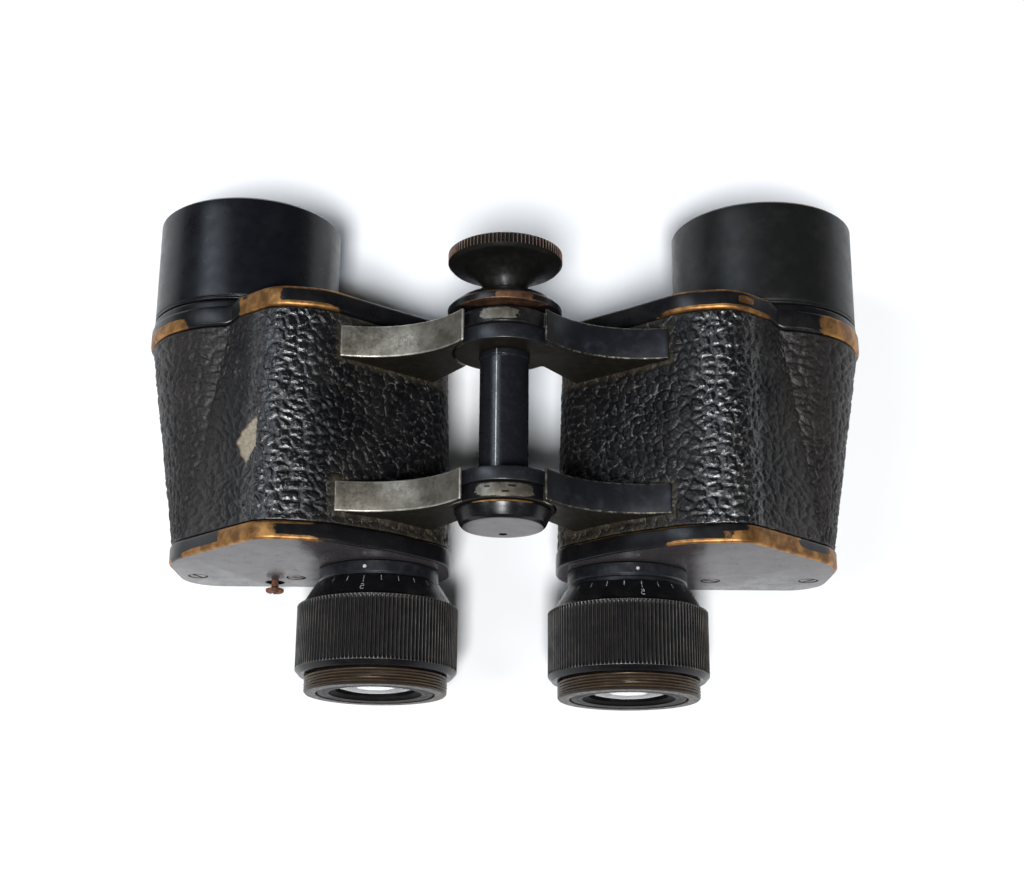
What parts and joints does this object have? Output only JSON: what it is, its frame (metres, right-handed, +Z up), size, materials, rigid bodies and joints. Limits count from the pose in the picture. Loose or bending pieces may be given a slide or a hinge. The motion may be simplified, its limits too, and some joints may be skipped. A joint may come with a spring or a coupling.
{
  "type": "binoculars",
  "caption": "Small prism binoculars with a clamped centre hinge, separately focusing eyepieces and leather-covered prism housings, lying on their back.",
  "frame": {"origin": "on the table under the middle of the instrument, which lies on its back", "axes": "+X from the user's left barrel to the right one, +Y from the eyepieces to the objectives, +Z up, out of the side with the hinge arms"},
  "size_m": [0.1744, 0.1172, 0.0652],
  "materials": {
    "black_enamel": "gloss black enamel, worn to grey and bright metal along its edges",
    "black_enamel_alloy": "gloss black enamel on a light alloy casting, worn bright along its edges",
    "bare_alloy": "dull bare casting metal, the enamel worn away, grime in the corners",
    "worn_black_brass": "black enamel worn through to golden brass along the rims",
    "bare_brass": "brown tarnished brass with a fine thread",
    "dark_bronze": "blackened brass, brown where hands wear it",
    "black_leather": "coarse pebbled leather with shiny worn grain",
    "screw_steel": "dark steel, lightly tarnished",
    "rusty_steel": "rust brown",
    "optical_glass": "polished, uncoated"
  },
  "bodies": {
    "right_half": {"right_body_casting": "black_enamel_alloy", "right_leather_cover": "black_leather", "right_objective_plate": "worn_black_brass", "right_eyepiece_plate": "worn_black_brass", "right_objective_tube": "black_enamel", "right_objective_cell": "dark_bronze", "right_objective_lens": "optical_glass", "right_objective_retaining_ring": "dark_bronze", "right_objective_prism": "optical_glass", "right_eyepiece_prism": "optical_glass", "right_objective_prism_clip": "screw_steel", "right_eyepiece_prism_clip": "screw_steel", "right_eyepiece_socket": "black_enamel", "right_eyepiece_plate_screw_1": "screw_steel", "right_eyepiece_plate_screw_2": "screw_steel", "right_objective_plate_screw_1": "screw_steel", "right_objective_plate_screw_2": "screw_steel", "hinge_axle": "screw_steel", "hinge_sleeve": "black_enamel", "hinge_cap": "black_enamel", "hinge_cap_pin": "dark_bronze", "axle_end_screw": "screw_steel", "friction_washer": "dark_bronze", "dome_washer": "black_enamel"},
    "left_half": {"left_body_casting": "bare_alloy", "left_leather_cover": "black_leather", "left_objective_plate": "worn_black_brass", "left_eyepiece_plate": "worn_black_brass", "left_objective_tube": "black_enamel", "left_objective_cell": "dark_bronze", "left_objective_lens": "optical_glass", "left_objective_retaining_ring": "dark_bronze", "left_objective_prism": "optical_glass", "left_eyepiece_prism": "optical_glass", "left_objective_prism_clip": "screw_steel", "left_eyepiece_prism_clip": "screw_steel", "left_eyepiece_socket": "black_enamel", "left_eyepiece_plate_screw_1": "screw_steel", "left_eyepiece_plate_screw_2": "screw_steel", "left_objective_plate_screw_1": "screw_steel", "left_objective_plate_screw_2": "screw_steel", "left_loose_plate_screw": "rusty_steel"},
    "right_ocular": {"right_lens_barrel": "black_enamel", "right_eye_lens": "optical_glass", "right_field_lens": "optical_glass"},
    "right_focus_ring": {"right_focus_ring": "dark_bronze", "right_eyecup_thread_ring": "bare_brass"},
    "left_ocular": {"left_lens_barrel": "black_enamel", "left_eye_lens": "optical_glass", "left_field_lens": "optical_glass"},
    "left_focus_ring": {"left_focus_ring": "dark_bronze", "left_eyecup_thread_ring": "bare_brass"},
    "clamp_knob": {"clamp_knob": "dark_bronze"}
  },
  "joints": [
    {"name": "interpupillary_hinge", "type": "hinge", "parent": "right_half", "child": "left_half", "pos_m": [0, 0, 0.0519], "axis": [0, 1, 0], "range_deg": [-6, 28]},
    {"name": "right_focus_travel", "type": "slide", "parent": "right_half", "child": "right_ocular", "axis": [0, 1, 0], "range_m": [-0.001, 0.0026]},
    {"name": "right_focus_turn", "type": "hinge", "parent": "right_ocular", "child": "right_focus_ring", "pos_m": [0.0296, 0, 0.0219], "axis": [0, 1, 0], "range_deg": [-44, 116]},
    {"name": "left_focus_travel", "type": "slide", "parent": "left_half", "child": "left_ocular", "axis": [0, 1, 0], "range_m": [-0.0018, 0.0018]},
    {"name": "left_focus_turn", "type": "hinge", "parent": "left_ocular", "child": "left_focus_ring", "pos_m": [-0.0296, 0, 0.0219], "axis": [0, 1, 0], "range_deg": [-80, 80]},
    {"name": "clamp_turn", "type": "hinge", "parent": "right_half", "child": "clamp_knob", "pos_m": [0, 0, 0.0519], "axis": [0, 1, 0], "range_deg": [0, 360]}
  ],
  "couplings": [
    {"joint": "right_focus_travel", "follows": "right_focus_turn", "m_per_rad": 0.0012732},
    {"joint": "left_focus_travel", "follows": "left_focus_turn", "m_per_rad": 0.0012732}
  ]
}
